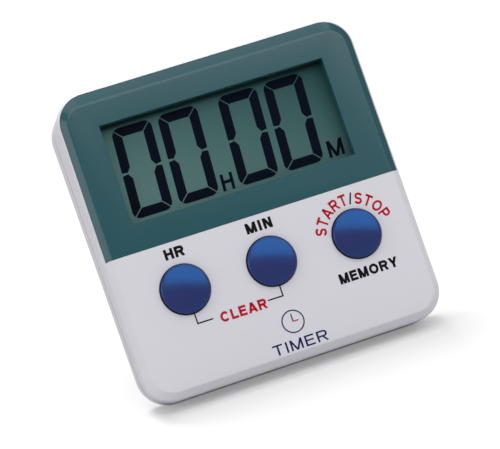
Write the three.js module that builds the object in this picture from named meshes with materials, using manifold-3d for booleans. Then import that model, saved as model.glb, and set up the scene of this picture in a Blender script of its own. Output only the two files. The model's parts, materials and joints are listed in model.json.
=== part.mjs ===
// Digital kitchen timer, leaning back on its rear stand.
// Everything is first drawn in the case's own frame: X to the right, Y into the case
// (0 is the flat front face), Z up the display. One group then leans the case back.
// Millimetres throughout.

import * as THREE from 'three';
import { mergeVertices } from 'three/addons/utils/BufferGeometryUtils.js';
import Module from 'manifold-3d';

const wasm = await Module();
wasm.setup();

// ---------- driving dimensions ----------
const HALF_W = 34.2;                  // half the case width
const TOP = 36.9;                     // top of the case, above the bezel's lower edge
const BOTTOM = -32.6;
const CORNER = 6.8;                   // outline corner radius
const BEVEL = 2.8;                    // soft front edge
const BACK_BEVEL = 2.0;
const WALL = 1.6;
const DEPTH_TOP = 20.8;               // the case is a wedge: deep at the top
const DEPTH_BOTTOM = 12.8;
const SEAM_TOP = 12.4;                // depth of the seam between the two shells
const SEAM_BOTTOM = 6.4;
const GAP = 0.15;                     // half the seam's width, and general clearance
const LEAN = THREE.MathUtils.degToRad(20);
const FLOOR = -34.3;                  // floor height under the case frame's origin, once leaned

const WINDOW = { x: 25.7, z0: 6.05, z1: 28.5, flange: 1.1, depth: 2.8 };
const BEZEL = { thick: 1.6, rim: 0.65, wall: 1.9, wallBack: 3.1 };

const BUTTON = { middle: 0.35, pitch: 19.75, z: -10.6, r: 5.4, hole: 5.75 };
const BOARD = { y0: 7.0, y1: 8.0, x: 31, z0: -24.5, z1: 5.0 };

const BATTERY = { r: 5.2, len: 44.5, y: 12.15, z: 23.2 };
const BAY = { x: 24.5, z0: 17.6, z1: 28.8, y: 6.7, wall: 1.0 };
const DOOR = { x: 25.85, z0: 16.35, z1: 30.45, thick: 1.3 };

const CASE_SCREWS = [[-29, 32.2], [29, 32.2], [-29, -27.4], [29, -27.4]];
const BOARD_SCREWS = [[-29.2, 0.6], [29.2, 0.6], [-9.8, -21.4], [9.8, -21.4]];
const STAND = { z: 11.8, x: 18, inset: 1.7, thick: 1.8, barrel: 1.5, open: 36.2, recess: 2.4 };
const PIN_R = 0.75;
const BORE_R = 0.86;

// ---------- depth along the wedge ----------
const along = (z, atBottom, atTop) => atBottom + (atTop - atBottom) * (z - BOTTOM) / (TOP - BOTTOM);
const back = (z) => along(z, DEPTH_BOTTOM, DEPTH_TOP);
const seam = (z) => along(z, SEAM_BOTTOM, SEAM_TOP);
const BACK_TILT = Math.atan((DEPTH_TOP - DEPTH_BOTTOM) / (TOP - BOTTOM));

// ---------- geometry helpers ----------
function faceOut(geometry) {
  const p = geometry.attributes.position;
  const index = geometry.index;
  const [a, b, c] = [new THREE.Vector3(), new THREE.Vector3(), new THREE.Vector3()];
  let volume = 0;
  for (let i = 0; i < index.count; i += 3) {
    a.fromBufferAttribute(p, index.getX(i));
    b.fromBufferAttribute(p, index.getX(i + 1));
    c.fromBufferAttribute(p, index.getX(i + 2));
    volume += a.dot(b.cross(c));
  }
  if (volume < 0) {
    for (let i = 0; i < index.count; i += 3) {
      const keep = index.getX(i + 1);
      index.setX(i + 1, index.getX(i + 2));
      index.setX(i + 2, keep);
    }
  }
  return geometry;
}

function closed(geometry) {
  geometry.deleteAttribute('normal');
  geometry.deleteAttribute('uv');
  return faceOut(mergeVertices(geometry, 1e-4));
}

function solid(geometry) {
  const g = closed(geometry);
  return new wasm.Manifold(new wasm.Mesh({
    numProp: 3,
    vertProperties: new Float32Array(g.attributes.position.array),
    triVerts: new Uint32Array(g.index.array),
  }));
}

function geometryOf(manifold) {
  const m = manifold.getMesh();
  const g = new THREE.BufferGeometry();
  g.setAttribute('position', new THREE.BufferAttribute(new Float32Array(m.vertProperties), 3));
  g.setIndex(new THREE.BufferAttribute(new Uint32Array(m.triVerts), 1));
  return g;
}

const cut = (body, ...tools) => tools.reduce((left, tool) => left.subtract(tool), body);
const join = (body, ...more) => more.reduce((left, piece) => left.add(piece), body);

// A block between two x, two z and two depths; a depth may be a function of z.
function block(x0, x1, y0, y1, z0, z1) {
  const g = new THREE.BoxGeometry(1, 1, 1);
  const p = g.attributes.position;
  const depth = (y, z) => (typeof y === 'function' ? y(z) : y);
  for (let i = 0; i < p.count; i += 1) {
    const z = p.getZ(i) > 0 ? z1 : z0;
    p.setXYZ(i, p.getX(i) > 0 ? x1 : x0, depth(p.getY(i) > 0 ? y1 : y0, z), z);
  }
  return solid(g);
}

// A round bar along Y.
function rodGeometry(x, z, r, y0, y1, sides = 16) {
  const g = new THREE.CylinderGeometry(r, r, y1 - y0, sides);
  g.translate(x, (y0 + y1) / 2, z);
  return g;
}
const rod = (...args) => solid(rodGeometry(...args));

// A turned body about the Y axis through (x, z), from a profile of [radius, depth] pairs.
function turned(profile, x, z, sides = 24) {
  const g = new THREE.LatheGeometry(profile.map(([r, y]) => new THREE.Vector2(r, y)), sides);
  return g.translate(x, 0, z);
}

// Lays a geometry drawn about Y (0 is the surface, minus is inwards) on the sloping back.
function onBack(geometry, x, z) {
  return geometry.rotateX(-BACK_TILT).translate(x, back(z), z);
}

// Outline of the case, drawn in by inset.
function outline(inset) {
  const r = Math.max(CORNER - inset, 0.8);
  const hx = HALF_W - inset;
  const hz = (TOP - BOTTOM) / 2 - inset;
  const mid = (TOP + BOTTOM) / 2;
  const shape = new THREE.Shape();
  shape.absarc(hx - r, mid + hz - r, r, 0, Math.PI / 2);
  shape.absarc(-hx + r, mid + hz - r, r, Math.PI / 2, Math.PI);
  shape.absarc(-hx + r, mid - hz + r, r, Math.PI, Math.PI * 1.5);
  shape.absarc(hx - r, mid - hz + r, r, Math.PI * 1.5, Math.PI * 2);
  return shape.getPoints(7).slice(0, -1);
}

// A closed body through outline rings, each an inset and a depth function of z.
function caseBody(rings) {
  const points = [];
  const index = [];
  const outlines = rings.map(([inset]) => outline(inset));
  const n = outlines[0].length;
  outlines.forEach((ring, k) => ring.forEach((p) => points.push(p.x, rings[k][1](p.y), p.y)));
  for (let k = 0; k + 1 < rings.length; k += 1) {
    for (let i = 0; i < n; i += 1) {
      const a = k * n + i;
      const b = k * n + (i + 1) % n;
      index.push(a, b, a + n, b, b + n, a + n);
    }
  }
  const last = (rings.length - 1) * n;
  for (let i = 1; i + 1 < n; i += 1) {
    index.push(0, i + 1, i, last, last + i, last + i + 1);
  }
  const g = new THREE.BufferGeometry();
  g.setAttribute('position', new THREE.Float32BufferAttribute(points, 3));
  g.setIndex(index);
  return solid(g);
}

// Quarter-round rings of an edge: from the flat face (step 0) round to the side wall.
function frontEdge(radius, inset, depth, steps = 4) {
  const rings = [];
  for (let i = 0; i <= steps; i += 1) {
    const turn = (i / steps) * Math.PI / 2;
    rings.push([inset + radius * (1 - Math.sin(turn)), () => depth + radius * (1 - Math.cos(turn))]);
  }
  return rings;
}

function backEdge(radius, inset, depth, steps = 3) {
  const rings = [];
  for (let i = 0; i <= steps; i += 1) {
    const turn = (i / steps) * Math.PI / 2;
    rings.push([
      inset + radius * (1 - Math.cos(turn)),
      (z) => depth(z) - radius * (1 - Math.sin(turn)),
    ]);
  }
  return rings;
}

// A wire along a smooth curve.
function wire(points, r = 0.45) {
  const path = new THREE.CatmullRomCurve3(points.map((p) => new THREE.Vector3(...p)));
  const section = new THREE.Shape();
  section.absarc(0, 0, r, 0, Math.PI * 2);
  const options = { steps: 14, extrudePath: path, bevelEnabled: false, curveSegments: 3 };
  return closed(new THREE.ExtrudeGeometry(section, options));
}

// ---------- materials ----------
const paint = (colour, roughness, metalness = 0) => () => (
  new THREE.MeshStandardMaterial({ color: colour, roughness, metalness })
);
const LOOK = {
  shell: paint(0xcdccd3, 0.45),
  teal: paint(0x3d5e63, 0.3),
  blue: paint(0x2244a8, 0.2),
  glass: paint(0x55736f, 0.15),
  film: paint(0x6b8884, 0.4),
  silver: paint(0xa9b0ae, 0.5),
  black: paint(0x1c1c1e, 0.7),
  board: paint(0x2f6b46, 0.55),
  rubber: paint(0xb9bcc0, 0.8),
  brass: paint(0xb08d4c, 0.35, 1),
  ceramic: paint(0xd8d6cc, 0.5),
  steel: paint(0x9a9ca0, 0.35, 1),
  magnet: paint(0x3b3b40, 0.5, 0.6),
  red: paint(0xa82a26, 0.6),
  label: paint(0x2d4f8f, 0.45),
};

// ---------- shells ----------
function frontHousing() {
  const outer = caseBody([...frontEdge(BEVEL, 0, 0), [0, (z) => seam(z) - GAP]]);
  const inner = caseBody([[WALL + 1.2, () => 1.8], [WALL, () => 3.2], [WALL, (z) => seam(z) + 1]]);
  const behindBezel = block(-40, 40, 0, BEZEL.wallBack, -1.2, 40);
  const cavity = cut(inner, behindBezel);
  const bezelSeat = caseBody([[BEZEL.rim - GAP, () => -1], [BEZEL.rim - GAP, () => BEZEL.wall]]);
  const seat = cut(bezelSeat, block(-40, 40, -2, 4, -40, 0));
  const opening = windowBlock(WINDOW.flange + 0.3, -1, 5);
  const holes = buttonCentres().map((x) => rod(x, BUTTON.z, BUTTON.hole, -1, 3, 32));
  const pegHoles = bezelPegs(1.0, -1, 5);
  let body = cut(outer, cavity, seat, opening, ...holes, ...pegHoles);
  CASE_SCREWS.forEach(([x, z]) => {
    body = join(body, rod(x, z, 2.3, 1.2 + BEZEL.wall * (z > 0), seam(z) - 0.6));
    body = cut(body, rod(x, z, 1.05, 4.5, 20, 10));
  });
  BOARD_SCREWS.forEach(([x, z]) => {
    body = join(body, rod(x, z, 1.9, 1.2 + BEZEL.wall * (z > 0), BOARD.y0 - 0.2));
    body = cut(body, rod(x, z, 0.9, 3.8, 20, 10));
  });
  return cut(body, floorBlock());
}

function windowBlock(grow, y0, y1) {
  return block(-WINDOW.x - grow, WINDOW.x + grow, y0, y1, WINDOW.z0 - grow, WINDOW.z1 + grow);
}

const buttonCentres = () => [-1, 0, 1].map((i) => BUTTON.middle + i * BUTTON.pitch);

function bezelPegs(r, y0, y1) {
  return [[-29.6, 3], [29.6, 3], [-23, 32.4], [23, 32.4]].map(([x, z]) => rod(x, z, r, y0, y1, 12));
}

function displayBezel() {
  const rim = BEZEL.rim;
  const start = BEVEL - rim;
  const edge = frontEdge(BEVEL, 0, 0, 5).filter(([inset]) => inset > rim);
  const outer = caseBody([...edge, [rim, () => start * 0.62], [rim, () => BEZEL.thick]]);
  const half = cut(outer, block(-40, 40, -2, 4, -40, GAP));
  const framed = join(half, windowBlock(WINDOW.flange, 0.5, WINDOW.depth), ...bezelPegs(0.8, 1, 2.9));
  return cut(framed, windowBlock(0, -1, 4));
}

function rearCover() {
  const outer = caseBody([[0, (z) => seam(z) + GAP], ...backEdge(BACK_BEVEL, 0, back)]);
  const inner = caseBody([[WALL, (z) => seam(z) - 1], [WALL, (z) => back(z) - WALL - 0.8],
    [WALL + 0.8, (z) => back(z) - WALL]]);
  const off = (depth) => (z) => back(z) - depth;
  const tray = join(
    block(-STAND.x - 1.8, STAND.x + 1.8, off(STAND.recess + 1.2), 40, -40, 11),
    block(-STAND.x - 3.2, STAND.x + 3.2, off(4.9), 40, 8.6, 14.9),
  );
  const b = BAY;
  const w = b.wall;
  const bayBox = block(-b.x - w, b.x + w, b.y - w, 40, b.z0 - w, b.z1 + w);
  const doorLedge = block(-DOOR.x - 1.2, DOOR.x + 1.2, off(DOOR.thick + 1.4), 40, 14.6, 33);
  const cavity = cut(inner, tray, bayBox, doorLedge);
  const bayWalls = block(-b.x - w, b.x + w, b.y - w, off(1.5), b.z0 - w, b.z1 + w);
  let body = join(cut(outer, cavity), bayWalls, seamTongue());
  CASE_SCREWS.forEach(([x, z]) => {
    body = join(body, rod(x, z, 2.9, seam(z) + 0.3, back(z) - 1.2));
    body = cut(body, rod(x, z, 1.3, 0, 30, 12), rod(x, z, 2.45, back(z) - 2.6, 30));
  });
  magnetCentres().forEach(([x, z]) => {
    body = join(body, solid(onBack(rodGeometry(0, 0, 5.6, -3.4, -1), x, z)));
    body = cut(body, solid(onBack(rodGeometry(0, 0, 4.65, -2.3, 2, 24), x, z)));
  });
  body = cut(body, ...standRecess(off), ...doorRecess(off));
  body = cut(body, block(-b.x, b.x, b.y, 30, b.z0, b.z1));
  body = cut(body, block(b.x - 1, b.x + 2, 9, 10.2, 21, 25), block(-b.x - 2, 1 - b.x, 9, 10.2, 21, 25));
  body = cut(body, ...soundHoles());
  body = join(body, cut(solid(onBack(rodGeometry(0, 0, 10.6, -5.0, -3), 0, -3)),
    solid(onBack(rodGeometry(0, 0, 9.6, -6, 0), 0, -3)), block(-40, 40, off(3.4), 40, -40, 40)));
  return cut(body, floorBlock());
}

// The lip inside the seam that locates the cover in the front housing, cut clear of its bosses.
function seamTongue() {
  const slip = WALL + GAP;
  const wall = slip + 0.8;
  const ring = caseBody([[slip, (z) => seam(z) - 1.5], [slip, (z) => seam(z) + GAP],
    [WALL - 0.2, (z) => seam(z) + GAP + 0.1], [WALL - 0.2, (z) => seam(z) + 2.4]]);
  const inside = caseBody([[wall, (z) => seam(z) - 3], [wall, (z) => seam(z) + 4]]);
  return cut(ring, inside, ...CASE_SCREWS.map(([x, z]) => rod(x, z, 2.55, 0, seam(z) + 0.3)));
}

function standRecess(off) {
  const x = STAND.x + 0.4;
  const foot = -29.2;
  return [
    block(-x, x, off(STAND.recess), 40, foot, 11),
    block(-x, x, off(3.6), 40, 9.9, 13.9),
    block(-7, 7, off(STAND.recess - 0.6), 40, foot - 1.6, foot + 1),
    solid(rodGeometry(0, 0, BORE_R, -20.9, 20.9).rotateZ(Math.PI / 2)
      .translate(0, back(STAND.z) - STAND.inset, STAND.z)),
  ];
}

function doorRecess(off) {
  const d = DOOR;
  return [
    block(-d.x - GAP, d.x + GAP, off(d.thick + GAP), 40, d.z0 - GAP, d.z1 + GAP),
    block(-5, 5, off(d.thick + GAP), 40, d.z0 - 1.7, d.z0 + 1),
    block(-18, -11, off(2.1), off(0.45), d.z1 - 1, d.z1 + 1.4),
    block(11, 18, off(2.1), off(0.45), d.z1 - 1, d.z1 + 1.4),
  ];
}

function soundHoles() {
  const places = [[0, 0]];
  for (let i = 0; i < 6; i += 1) {
    places.push([3.6 * Math.cos(i * Math.PI / 3), 3.6 * Math.sin(i * Math.PI / 3)]);
  }
  return places.map(([x, z]) => rod(x, z - 3, 0.75, 9, 30, 10));
}

// Everything under the floor plane, in the case's own frame.
function floorBlock() {
  const g = new THREE.BoxGeometry(200, 200, 40);
  g.translate(0, 0, FLOOR - 20);
  return solid(g.rotateX(LEAN));
}

// ---------- display ----------
function displayStack() {
  return [
    ['front_polariser', block(-26.6, 26.6, 3.25, 3.45, 5.2, 29.4), LOOK.film],
    ['lcd_front_glass', block(-27, 27, 3.6, 4.3, 1.4, 30.2), LOOK.glass],
    ['lcd_rear_glass', block(-27, 27, 4.45, 5.15, 4.2, 30.2), LOOK.glass],
    ['lcd_reflector', block(-26.6, 26.6, 5.25, 5.4, 5.0, 29.4), LOOK.silver],
    ['lcd_frame', lcdFrame(), LOOK.black],
    ['zebra_connector', block(-24, 24, 4.5, 6.8, 1.5, 3.6), LOOK.rubber],
  ];
}

function lcdFrame() {
  const plate = block(-27.4, 27.4, 5.55, 6.5, 6.0, 30.4);
  return cut(plate, block(-25.9, 25.9, 5, 7, 16.2, 30.1), block(-18, 18, 5, 7, 8, 14.6));
}

// ---------- buttons ----------
function buttonCap(x) {
  const dome = [];
  const steps = 5;
  for (let i = 0; i <= steps; i += 1) {
    const turn = (i / steps) * Math.PI / 2;
    dome.push([BUTTON.r * Math.sin(turn), 0.1 - 1.7 * Math.cos(turn)]);
  }
  const profile = [...dome, [BUTTON.r, 2.1], [6.5, 2.1], [6.5, 2.9], [2.6, 2.9], [2.6, 4.3], [0, 4.3]];
  return turned(profile, x, BUTTON.z, 32);
}

function rubberDome(x) {
  const profile = [[0, 4.5], [2.4, 4.5], [2.7, 4.9], [4.4, 6.0], [6.4, 6.0], [6.4, 6.8], [3.9, 6.8],
    [2.2, 5.7], [0, 5.7]];
  return turned(profile, x, BUTTON.z, 20);
}

// ---------- electronics ----------
function circuitBoard() {
  const board = block(-BOARD.x, BOARD.x, BOARD.y0, BOARD.y1, BOARD.z0, BOARD.z1);
  return cut(board, ...BOARD_SCREWS.map(([x, z]) => rod(x, z, 1.25, 5, 10, 12)));
}

function boardParts() {
  const top = BOARD.y1 + GAP;
  const blob = [[0, top], [4.6, top], [4.2, top + 0.6], [2.8, top + 1.2], [1.2, top + 1.5], [0, top + 1.5]];
  const can = new THREE.CylinderGeometry(1, 1, 6, 12).rotateZ(Math.PI / 2);
  const cap = new THREE.CylinderGeometry(2, 2, 5, 16).rotateX(Math.PI / 2);
  return [
    ['chip_potting', solid(turned(blob, -14, -12)), LOOK.black],
    ['quartz_crystal', solid(can.translate(6, top + 1.1, -17)), LOOK.steel],
    ['chip_capacitor_1', block(-4, -2, top, top + 0.9, -18.5, -17.2), LOOK.ceramic],
    ['chip_capacitor_2', block(-4, -2, top, top + 0.9, -21.5, -20.2), LOOK.ceramic],
    ['smoothing_capacitor', solid(cap.translate(23.6, top + 2.1, -16)), LOOK.black],
  ];
}

function screw(x, z, y, headR, headH, shaftR, length) {
  const slot = [block(x - 0.3, x + 0.3, y - 0.6, y + 1, z - 1.3, z + 1.3),
    block(x - 1.3, x + 1.3, y - 0.6, y + 1, z - 0.3, z + 0.3)];
  const body = turned([[0, y], [headR * 0.8, y], [headR, y - headH * 0.5], [headR, y - headH],
    [shaftR, y - headH], [shaftR, y - length + 1], [0, y - length]], x, z, 14);
  return cut(solid(body), ...slot);
}

function screws() {
  const list = [];
  CASE_SCREWS.forEach(([x, z], i) => {
    const head = back(z) - 1.15;
    list.push([`case_screw_${i + 1}`, screw(x, z, head, 2.15, 1.25, 0.95, head - 5.2), LOOK.steel]);
  });
  BOARD_SCREWS.forEach(([x, z], i) => {
    list.push([`board_screw_${i + 1}`, screw(x, z, BOARD.y1 + 1.5, 1.75, 1.2, 0.8, 5.2), LOOK.steel]);
  });
  return list;
}

function buzzer() {
  const plate = onBack(rodGeometry(0, 0, 9.3, -4.4, -4.15, 28), 0, -3);
  const disc = onBack(rodGeometry(0, 0, 6.4, -4.75, -4.5, 24), 0, -3);
  return [
    ['piezo_plate', solid(plate), LOOK.brass],
    ['piezo_ceramic', solid(disc), LOOK.ceramic],
    ['buzzer_lead_red', wire([[3, 10.8, -3], [6, 10.4, -6], [7, 9.8, -8], [8, 8.7, -9]]), LOOK.red],
    ['buzzer_lead_black', wire([[-8, 10.9, -5], [-8.4, 10.5, -3], [-9, 9.8, -1], [-9, 8.7, 1]]), LOOK.black],
  ];
}

// ---------- battery ----------
function battery() {
  const r = BATTERY.r;
  const half = BATTERY.len / 2;
  const profile = [[0, -half], [r - 0.5, -half], [r, -half + 0.6], [r, half - 1.6], [r - 0.7, half - 1],
    [1.9, half - 1], [1.9, half], [0, half]];
  const g = turned(profile, 0, 0, 24).rotateZ(-Math.PI / 2);
  return solid(g.translate(0.4, BATTERY.y, BATTERY.z));
}

function contacts() {
  const { y, z } = BATTERY;
  const x = BAY.x;
  const plus = join(block(x - 0.8, x - 0.3, y - 4.4, y + 3, z - 3.6, z + 3.6),
    block(x - 0.8, x + 1.6, 9.3, 9.9, 21.6, 24.4));
  const minus = join(block(0.3 - x, 0.8 - x, y - 4.4, y + 3, z - 3.6, z + 3.6),
    block(-x - 1.6, 0.8 - x, 9.3, 9.9, 21.6, 24.4));
  const coil = turned([[1.6, 0], [2.4, 0], [3.6, 1.5], [2.8, 1.5], [1.6, 0]], 0, 0, 18).rotateZ(Math.PI / 2);
  return [
    ['battery', battery(), LOOK.label],
    ['battery_spring', solid(coil.translate(-22.1, y, z)), LOOK.steel],
    ['positive_contact', plus, LOOK.steel],
    ['negative_contact', minus, LOOK.steel],
    ['battery_lead_red', wire([[26.5, 9.6, 21.2], [27, 9.6, 18], [26.4, 9.3, 10], [26, 8.7, 3]]), LOOK.red],
    ['battery_lead_black', wire([[-26.5, 9.6, 21.2], [-27, 9.6, 18], [-26.4, 9.3, 10], [-26, 8.7, 3]]),
      LOOK.black],
  ];
}

function batteryDoor() {
  const d = DOOR;
  const off = (depth) => (z) => back(z) - depth;
  const plate = block(-d.x, d.x, off(d.thick), off(0), d.z0, d.z1);
  const tongues = [-17.5, 11.5].map((x) => block(x, x + 6, off(1.3), off(0.6), d.z1 - 1, d.z1 + 0.9));
  const latch = block(-4.6, 4.6, off(1.2), off(0.3), d.z0 - 1.3, d.z0 + 1);
  const grips = [0, 1, 2].map((i) => block(-9, 9, off(0.35), off(-1), d.z0 + 2 + 1.5 * i, d.z0 + 2.7 + 1.5 * i));
  return cut(join(plate, ...tongues, latch), ...grips);
}

// ---------- back fittings ----------
function magnetCentres() {
  return [[-26.6, -6], [26.6, -6]];
}

function magnets() {
  return magnetCentres().map(([x, z], i) => (
    [['left_magnet', 'right_magnet'][i], solid(onBack(rodGeometry(0, 0, 4.5, -2.15, -0.1, 24), x, z)),
      LOOK.magnet]
  ));
}

// Drawn about its pivot with the leaf hanging straight down, then swung to its open angle.
// The foot is cut off level with the floor.
function stand() {
  const { x, z, thick, inset, barrel, open } = STAND;
  const foot = -41.6;
  const corner = 3;
  const shape = new THREE.Shape();
  shape.moveTo(x, 0);
  shape.lineTo(-x, 0);
  shape.absarc(-x + 2 + corner, foot + corner, corner, Math.PI, Math.PI * 1.5);
  shape.absarc(x - 2 - corner, foot + corner, corner, Math.PI * 1.5, Math.PI * 2);
  const leaf = new THREE.ExtrudeGeometry(shape, { depth: thick, bevelEnabled: false, curveSegments: 6 });
  leaf.rotateX(Math.PI / 2).translate(0, inset - 0.2, 0);
  const tube = rodGeometry(0, 0, barrel, -x, x, 20).rotateZ(Math.PI / 2);
  const bore = rodGeometry(0, 0, BORE_R, -x - 1, x + 1, 16).rotateZ(Math.PI / 2);
  const panel = block(-12.5, 12.5, inset - 0.65, 10, -33, -7);
  const body = cut(join(solid(leaf), solid(tube)), solid(bore), panel);
  const swung = geometryOf(body).rotateX(THREE.MathUtils.degToRad(open) - BACK_TILT);
  return cut(solid(swung.translate(0, back(z) - inset, z)), floorBlock());
}

function standPin() {
  const pin = rodGeometry(0, 0, PIN_R, -20.6, 20.6, 12).rotateZ(Math.PI / 2);
  return solid(pin.translate(0, back(STAND.z) - STAND.inset, STAND.z));
}

// ---------- assembly ----------
const BUTTONS = ['hour', 'minute', 'start_stop'];

const PIECES = [
  ['front_housing', frontHousing(), LOOK.shell],
  ['display_bezel', displayBezel(), LOOK.teal],
  ...displayStack(),
  ...BUTTONS.map((name, i) => [`${name}_button`, solid(buttonCap(buttonCentres()[i])), LOOK.blue]),
  ...BUTTONS.map((name, i) => [`${name}_dome`, solid(rubberDome(buttonCentres()[i])), LOOK.rubber]),
  ['circuit_board', circuitBoard(), LOOK.board],
  ...boardParts(),
  ...screws(),
  ...buzzer(),
  ...contacts(),
  ['rear_cover', rearCover(), LOOK.shell],
  ['battery_door', batteryDoor(), LOOK.shell],
  ...magnets(),
  ['stand', stand(), LOOK.shell],
  ['stand_pin', standPin(), LOOK.steel],
];

const timer = new THREE.Group();
const leaned = new THREE.Group();
leaned.rotation.x = -LEAN;
timer.add(leaned);
PIECES.forEach(([name, shape, look]) => {
  const mesh = new THREE.Mesh(shape.isBufferGeometry ? shape : geometryOf(shape), look());
  mesh.name = name;
  leaned.add(mesh);
});

// The origin is on the floor, under the middle of the whole object.
timer.updateMatrixWorld(true);
const bounds = new THREE.Box3().setFromObject(timer, true);
leaned.position.set(
  -(bounds.min.x + bounds.max.x) / 2,
  -(bounds.min.y + bounds.max.y) / 2,
  -FLOOR,
);

export default timer;
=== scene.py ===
"""A digital kitchen timer, leaning back on its rear stand, in soft studio light.

Shapes are worked out in the case's own frame, in millimetres: X to the right, Y into the case
(0 is the flat front face), Z up the display. in_row() leans them back and turns them into metres.
"""

import json
from math import atan2, cos, pi, radians, sin, sqrt, tan

import bpy
import numpy as np
from mathutils import Matrix, Quaternion, Vector


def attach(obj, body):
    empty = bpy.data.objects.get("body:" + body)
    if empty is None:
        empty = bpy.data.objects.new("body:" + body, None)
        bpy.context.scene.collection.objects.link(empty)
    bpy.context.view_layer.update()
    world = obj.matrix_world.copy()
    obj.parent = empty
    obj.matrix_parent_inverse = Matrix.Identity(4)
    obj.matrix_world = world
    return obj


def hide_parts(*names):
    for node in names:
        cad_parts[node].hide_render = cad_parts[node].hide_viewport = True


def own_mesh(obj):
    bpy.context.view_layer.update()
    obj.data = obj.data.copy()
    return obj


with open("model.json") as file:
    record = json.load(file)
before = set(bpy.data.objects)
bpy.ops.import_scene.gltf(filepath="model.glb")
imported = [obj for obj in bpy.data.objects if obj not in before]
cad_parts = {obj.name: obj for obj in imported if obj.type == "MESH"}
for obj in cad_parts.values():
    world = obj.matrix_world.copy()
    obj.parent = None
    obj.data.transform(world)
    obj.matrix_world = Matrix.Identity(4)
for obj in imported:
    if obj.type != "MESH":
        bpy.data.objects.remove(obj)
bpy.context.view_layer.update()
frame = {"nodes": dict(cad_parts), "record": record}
NODES = frame["nodes"]
RECORD = frame["record"]

# ---------- the case's frame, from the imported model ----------
JOINTS = {j["name"]: j for j in RECORD["behaviour"]["joints"]}
PRESS = JOINTS["hour_press"]["axis"]
LEAN = atan2(-PRESS[2], PRESS[1])
TURN = Matrix.Rotation(-LEAN, 4, "X")
MM = 0.001
BOARD_DEPTH = 7.0                    # of the circuit board's front face, in millimetres
BOARD_FOOT = -24.5


def node_points(name):
    """Every vertex of a CAD node, in row metres."""
    mesh = NODES[name].data
    flat = np.empty(len(mesh.vertices) * 3)
    mesh.vertices.foreach_get("co", flat)
    return flat.reshape(-1, 3)


def case_origin():
    """Where the case frame's origin lies: the board's own corner tells it, as its depths are known."""
    board = node_points("circuit_board") @ np.array(TURN.to_3x3())
    low = board.min(axis=0)
    return TURN @ Vector((0, low[1] - BOARD_DEPTH * MM, low[2] - BOARD_FOOT * MM))


TO_ROW = Matrix.Translation(case_origin()) @ TURN @ Matrix.Scale(MM, 4)
FROM_ROW = np.array(TO_ROW.inverted())


def span(name):
    """A CAD node's lowest and highest corners in the case frame, in millimetres."""
    points = node_points(name) @ FROM_ROW[:3, :3].T + FROM_ROW[:3, 3]
    return points.min(axis=0), points.max(axis=0)


# ---------- driving sizes, in millimetres ----------
SHELL_LOW, SHELL_HIGH = span("front_housing")
HALF_W = SHELL_HIGH[0]
TOP, BOTTOM = SHELL_HIGH[2], SHELL_LOW[2]
CORNER = 6.8
CREASE_R = 0.7                       # where the face turns into its sloping edge
SLOPE = 1.5                          # flat of the sloping edge
SHOULDER_R = 1.5                     # where the sloping edge turns into the side wall
BACK_BEVEL = 2.0
WALL = 1.6
GAP = 0.15
DEPTH = (12.8, 20.8)                 # of the case, at its bottom and its top
SEAM = (6.4, 12.4)                   # of the seam between the shells
SEAM_GROOVE = 0.7                    # depth of the groove round the seam
SEAM_LIP = 0.42                      # of each shell's lip from the seam's middle
RIM = 0.65                           # housing left bare round the bezel
BEZEL_THICK = 1.6
BEZEL_SLOPE = 3.1                    # width of the bezel's sloping border, rim included
BEZEL_SIDE = 0.6                     # the border's width at the sides against the top
BEZEL_CREASE_R = 1.8
WINDOW_X = 25.7
WINDOW_Z = (6.05, 28.5)
DISPLAY_Y = span("front_polariser")[0][1]
KEYS = ("hour", "minute", "start_stop")
KEY_Z = -10.6
KEY_MIDDLE = 0.35
KEY_PITCH = 19.75
KEY_R = 5.32
KEY_HOLE = 5.6
KEY_DOME = (4.92, 1.85, 1.13)        # radius of a key's dome, how far its middle stands out, and its rim
KEY_EDGE_FALL = 0.42                 # of the rounded edge below the dome's rim
KEY_EDGE_FROM = radians(24)          # slope at which that edge leaves the dome
KEY_FLANGE = (6.5, 2.1, 2.9)         # its radius, front and rear
KEY_STEM = (2.6, 4.3)                # its radius and end
SHELL_FLOOR = 3.2                    # of the front shell's inside behind the bezel
LOWER_FLOOR = 1.8                    # and behind the keys
LOWER_EDGE = 3.6                     # of that deeper field from the case's outline
CASE_SCREWS = [(-29, 32.2), (29, 32.2), (-29, -27.4), (29, -27.4)]
THREAD_PITCH = 0.55
BOARD_SCREWS = [(-29.2, 0.6), (29.2, 0.6), (-9.8, -21.4), (9.8, -21.4)]
CASE_POST = (2.3, 1.05, 4.5)         # radius, bore and the depth it is bored from
BOARD_POST = (1.9, 0.9, 3.8, 6.8)    # and the depth of its end
BOARD_BACK = 8.0
BAY_X = 24.5                         # inside of the battery bay
BAY_Z = (17.6, 28.8)
BAY_FLOOR = 6.7
BAY_WALL = 1.0
DOOR_X = 25.85
DOOR_Z = (16.35, 30.45)
DOOR_THICK = 1.3
BATTERY_R = 5.2
BATTERY_AT = (0.4, 12.15, 23.2)
BATTERY_HALF = 22.25
SPRING_TURNS = 3.4
STAND_X = 18.0
STAND_Z = 11.8                       # of the stand's pin
STAND_INSET = 1.7                    # of the pin under the back
STAND_OPEN = 36.2                    # degrees
STAND_BORE = 0.86                    # radius of the holes round its pin
STAND_PIN_R = 0.75
STAND_KNUCKLE_R = 1.5
STAND_FOOT = -41.6                   # its end before it is trimmed, from its pin
STAND_CORNER = 3.0
MAGNETS = {"left": -26.6, "right": 26.6}
MAGNET_Z = -6.0
BUZZER_Z = -3.0
BACK_TILT = atan2(DEPTH[1] - DEPTH[0], TOP - BOTTOM)
FAR = 40                             # past anything a cutter has to reach

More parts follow.
